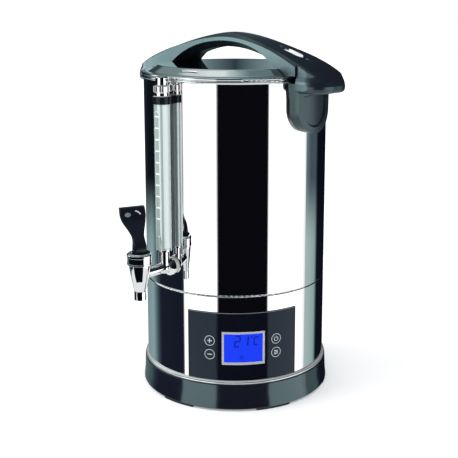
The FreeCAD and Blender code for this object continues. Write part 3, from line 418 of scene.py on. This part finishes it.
w = bpy.data.worlds.new("studio")
bpy.context.scene.world = w
w.use_nodes = True
nt = w.node_tree
nt.nodes.clear()
out = nt.nodes.new("ShaderNodeOutputWorld")
tc = nt.nodes.new("ShaderNodeTexCoord")
g = Graph(nt, tc.outputs["Generated"])
azim = g.math("ARCTAN2", g.dot(rvec), g.dot(cvec))
t = g.math("MULTIPLY_ADD", azim, 1 / (2 * math.pi), 0.5)
up = g.dot((0, 0, 1))


def ramp(stops):
    n = nt.nodes.new("ShaderNodeValToRGB")
    cr = n.color_ramp
    cr.interpolation = "LINEAR"
    stops = sorted(stops)
    cr.elements[0].position = (stops[0][0] + 180) / 360
    cr.elements[0].color = stops[0][1]
    cr.elements[1].position = (stops[-1][0] + 180) / 360
    cr.elements[1].color = stops[-1][1]
    for a, c in stops[1:-1]:
        e = cr.elements.new((a + 180) / 360)
        e.color = c
    nt.links.new(t, n.inputs["Fac"])
    return n.outputs["Color"]


def lamp(v):
    return (v, v, v * 1.01, 1.0)


K = rgb(9, 9, 14)
upper = ramp([(-180, rgb(40, 50, 58)), (-158, rgb(30, 36, 46)), (-141, rgb(14, 19, 25)), (-117, rgb(14, 19, 25)), (-104, rgb(22, 26, 38)), (-68.5, rgb(22, 26, 38)), (-66.5, lamp(1.4)), (-24, lamp(1.4)), (-21.6, K),
              (40.8, K), (43, lamp(1.5)), (91, lamp(1.5)), (98, lamp(0.95)), (101.5, rgb(104, 123, 127)), (110, rgb(64, 82, 91)), (122, rgb(68, 83, 93)), (128, rgb(12, 15, 24)), (172, rgb(9, 10, 16)), (180, rgb(40, 50, 58))])
lower = ramp([(-180, rgb(120, 140, 145)), (-155, rgb(128, 150, 153)), (-133, rgb(135, 160, 163)), (-126, rgb(104, 130, 134)), (-119, rgb(62, 78, 88)), (-111, rgb(26, 30, 44)), (-69, rgb(22, 26, 38)), (-67, lamp(1.5)), (-24, lamp(1.5)), (-21.6, K),
              (40.8, K), (43, lamp(1.5)), (91, lamp(1.5)), (97, lamp(0.9)), (102, rgb(168, 187, 185)), (122, rgb(142, 166, 167)), (129, rgb(14, 19, 27)), (172, rgb(12, 13, 21)), (180, rgb(120, 140, 145))])
over = ramp([(-180, rgb(45, 58, 66)), (-179, rgb(62, 78, 86)), (-178, rgb(120, 142, 145)), (-176.5, rgb(138, 158, 159)), (-172, rgb(60, 74, 82)), (-150, rgb(34, 40, 50)), (-126, rgb(34, 38, 50)), (-116, lamp(1.7)), (-56, lamp(1.7)), (-46, rgb(26, 30, 42)), (0, rgb(18, 20, 30)),
             (60, rgb(18, 20, 30)), (95, rgb(30, 36, 46)), (150, rgb(30, 36, 46)), (172, rgb(34, 38, 50)), (176.5, rgb(130, 152, 154)), (178.2, rgb(120, 143, 146)), (179.1, rgb(62, 78, 86)), (180, rgb(45, 58, 66))])
mid = ramp([(-180, rgb(96, 114, 116)), (-165, rgb(108, 126, 127)), (-140, rgb(120, 138, 138)), (-110, rgb(150, 165, 165)), (-60, rgb(150, 165, 165)), (-40, rgb(40, 48, 58)), (60, rgb(34, 38, 50)), (160, rgb(34, 38, 50)), (174, rgb(60, 72, 80)), (180, rgb(96, 114, 116))])
high = ramp([(-180, rgb(162, 180, 179)), (-171, rgb(182, 197, 196)), (-163, rgb(216, 225, 225)), (-148, rgb(216, 225, 225)), (-136, rgb(150, 168, 168)), (-90, rgb(150, 168, 168)), (0, rgb(120, 140, 142)), (120, rgb(90, 110, 114)), (158, rgb(98, 119, 123)), (172, rgb(142, 161, 162)), (180, rgb(162, 180, 179))])
glossy = g.mix(g.step(up, -0.27, -0.19), lower, upper)
glossy = g.mix(g.step(up, 0.0, 0.05), glossy, over)
glossy = g.mix(g.step(up, 0.28, 0.42), glossy, mid)
glossy = g.mix(g.step(up, 0.68, 0.80), glossy, high)
glossy = g.mix(g.step(up, -0.48, -0.43), (0.80, 0.82, 0.83, 1.0), glossy)
lp = nt.nodes.new("ShaderNodeLightPath")
bg_cam = nt.nodes.new("ShaderNodeBackground")
bg_cam.inputs["Color"].default_value = (1, 1, 1, 1)
bg_cam.inputs["Strength"].default_value = 1.0
bg_gl = nt.nodes.new("ShaderNodeBackground")
nt.links.new(glossy, bg_gl.inputs["Color"])
bg_df = nt.nodes.new("ShaderNodeBackground")
bg_df.inputs["Color"].default_value = (0.97, 0.985, 1.0, 1)
bg_df.inputs["Strength"].default_value = 0.95
m1 = nt.nodes.new("ShaderNodeMixShader")
m2 = nt.nodes.new("ShaderNodeMixShader")
nt.links.new(lp.outputs["Is Glossy Ray"], m1.inputs[0])
nt.links.new(bg_df.outputs[0], m1.inputs[1])
nt.links.new(bg_gl.outputs[0], m1.inputs[2])
nt.links.new(lp.outputs["Is Camera Ray"], m2.inputs[0])
nt.links.new(m1.outputs[0], m2.inputs[1])
nt.links.new(bg_cam.outputs[0], m2.inputs[2])
nt.links.new(m2.outputs[0], out.inputs[0])

sun = bpy.data.lights.new("key", "SUN")
sun.energy = 1.0
sun.angle = math.radians(35)
sun.color = (1.0, 0.99, 0.97)
so = bpy.data.objects.new("key", sun)
bpy.context.scene.collection.objects.link(so)
d = (-rvec * 0.9 + cvec * 0.15 + Vector((0, 0, 1.0))).normalized()
so.rotation_mode = "QUATERNION"
so.rotation_quaternion = d.to_track_quat("Z", "Y")
so.visible_glossy = False

# a softbox that only the satin handles catch
fill = bpy.data.lights.new("handle_softbox", "AREA")
fill.shape = "SQUARE"
fill.size = 1.2
fill.energy = 17.0
fill.color = (0.93, 1.0, 0.995)
fo = bpy.data.objects.new("handle_softbox", fill)
bpy.context.scene.collection.objects.link(fo)
FA, FE = math.radians(-97), math.radians(2)
fdir = cvec * math.cos(FA) * math.cos(FE) + rvec * math.sin(FA) * math.cos(FE) + Vector((0, 0, math.sin(FE)))
fo.location = Vector((0, 0, 0.42)) + fdir * 1.1
fo.rotation_mode = "QUATERNION"
fo.rotation_quaternion = fdir.to_track_quat("Z", "Y")
fo.visible_camera = False
lit = bpy.data.collections.new("handle_parts")
for nm in ("lid_handle", "left_side_handle", "right_side_handle"):
    lit.objects.link(N[nm])
fo.light_linking.receiver_collection = lit

# a small black card curved round the front of the tap, seen only in its mirror; rays from farther off pass it
CARD_R = 70 * mm
cm_ = bpy.data.materials.new("studio_card")
cm_.use_nodes = True
cnt = cm_.node_tree
cnt.nodes.clear()
co_ = cnt.nodes.new("ShaderNodeOutputMaterial")
em_ = cnt.nodes.new("ShaderNodeEmission")
em_.inputs["Color"].default_value = rgb(10, 11, 18)
tr_ = cnt.nodes.new("ShaderNodeBsdfTransparent")
lr_ = cnt.nodes.new("ShaderNodeLightPath")
gt_ = cnt.nodes.new("ShaderNodeMath")
gt_.operation = "GREATER_THAN"
gt_.inputs[1].default_value = 79 * mm
mx_ = cnt.nodes.new("ShaderNodeMixShader")
cnt.links.new(lr_.outputs["Ray Length"], gt_.inputs[0])
cnt.links.new(gt_.outputs[0], mx_.inputs[0])
cnt.links.new(em_.outputs[0], mx_.inputs[1])
cnt.links.new(tr_.outputs[0], mx_.inputs[2])
cnt.links.new(mx_.outputs[0], co_.inputs[0])
EDGE = [(-80, 162, 215), (-58, 158, 215), (-57, 126, 215), (-46, 117, 215), (-34, 110, 215), (-22, 105.5, 215), (-10, 103, 215), (0, 102.5, 215), (10, 103, 215), (22, 106, 215), (34, 112, 215), (39.5, 117, 215)]
cv, cf = [], []
for a_, z0, z1 in EDGE:
    q = Vector((0, -164 * mm, 0)) + (cvec * math.cos(math.radians(a_)) + rvec * math.sin(math.radians(a_))) * CARD_R
    cv += [(q.x, q.y, z0 * mm), (q.x, q.y, z1 * mm)]
for i in range(len(EDGE) - 1):
    cf.append((2 * i, 2 * i + 2, 2 * i + 3, 2 * i + 1))
cme = bpy.data.meshes.new("studio_card")
cme.from_pydata(cv, [], cf)
card = bpy.data.objects.new("studio_card", cme)
bpy.context.scene.collection.objects.link(card)
card.data.materials.append(cm_)
card.visible_camera = False
card.visible_diffuse = False
card.visible_shadow = False
card.visible_transmission = False

PX = 458.0
F, CX, CY, PITCH, DIST, HGT = 921.3, 235.1, 172.0, math.radians(10.90), 1.1434, 0.4887
cam = bpy.data.cameras.new("cam")
cam.sensor_width = 36.0
cam.lens = F / PX * 36.0
cam.shift_x = -(CX - PX / 2) / PX
cam.shift_y = -(PX / 2 - CY) / PX
co = bpy.data.objects.new("cam", cam)
bpy.context.scene.collection.objects.link(co)
co.location = cvec * DIST + Vector((0, 0, HGT))
look = (-cvec * math.cos(PITCH) + Vector((0, 0, -math.sin(PITCH)))).normalized()
co.rotation_mode = "QUATERNION"
co.rotation_quaternion = (-look).to_track_quat("Z", "Y")
bpy.context.scene.camera = co
bpy.context.scene.view_settings.view_transform = "Standard"
